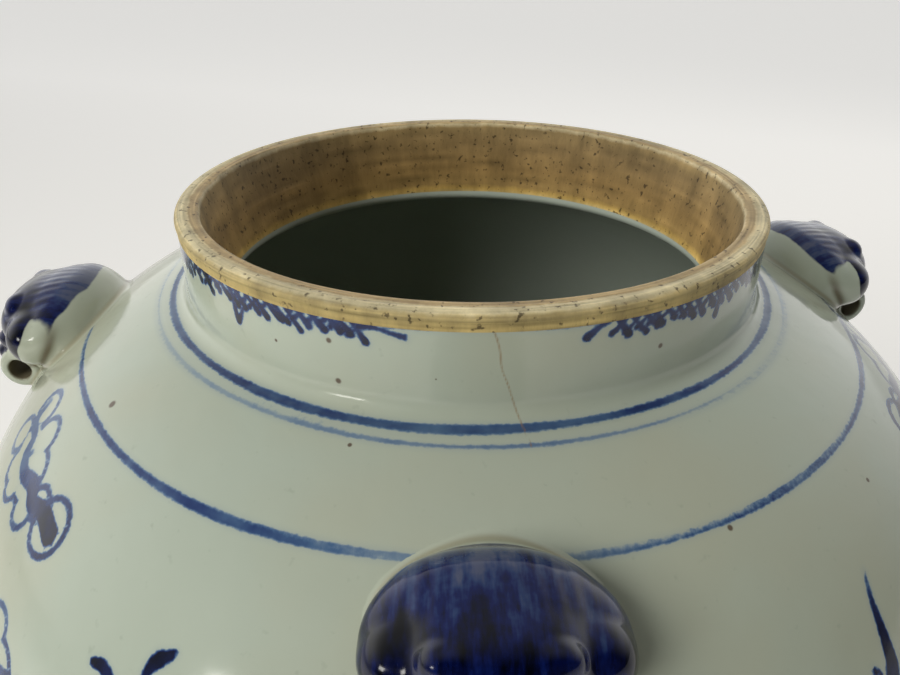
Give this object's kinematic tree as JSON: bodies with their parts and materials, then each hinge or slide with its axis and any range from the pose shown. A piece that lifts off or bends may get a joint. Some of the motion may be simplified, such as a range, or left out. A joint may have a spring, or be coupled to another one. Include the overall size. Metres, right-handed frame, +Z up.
{
  "type": "ginger jar",
  "caption": "Shouldered porcelain ginger jar with a short upright neck, bare rim, blue painting and pierced animal-mask lugs.",
  "frame": {"origin": "centre of the foot ring's underside, on the pot's turning axis", "axes": "+Z up along the turning axis; -Y towards the front lug, +X to the right seen from the front"},
  "size_m": [0.291, 0.291, 0.345],
  "materials": {
    "celadon_white_glaze": "glossy",
    "cobalt_glaze": "glossy",
    "biscuit": "matte"
  },
  "bodies": {
    "root": {"base_disc": "biscuit", "foot_ring": "biscuit", "lower_body": "celadon_white_glaze", "upper_body": "celadon_white_glaze", "neck_collar": "celadon_white_glaze", "front_head": "cobalt_glaze", "front_ears": "celadon_white_glaze", "front_eyes": "cobalt_glaze", "front_snout": "celadon_white_glaze", "front_loop": "celadon_white_glaze", "right_head": "cobalt_glaze", "right_ears": "celadon_white_glaze", "right_eyes": "cobalt_glaze", "right_snout": "celadon_white_glaze", "right_loop": "celadon_white_glaze", "back_head": "cobalt_glaze", "back_ears": "celadon_white_glaze", "back_eyes": "cobalt_glaze", "back_snout": "celadon_white_glaze", "back_loop": "celadon_white_glaze", "left_head": "cobalt_glaze", "left_ears": "celadon_white_glaze", "left_eyes": "cobalt_glaze", "left_snout": "celadon_white_glaze", "left_loop": "celadon_white_glaze"}
  },
  "joints": []
}
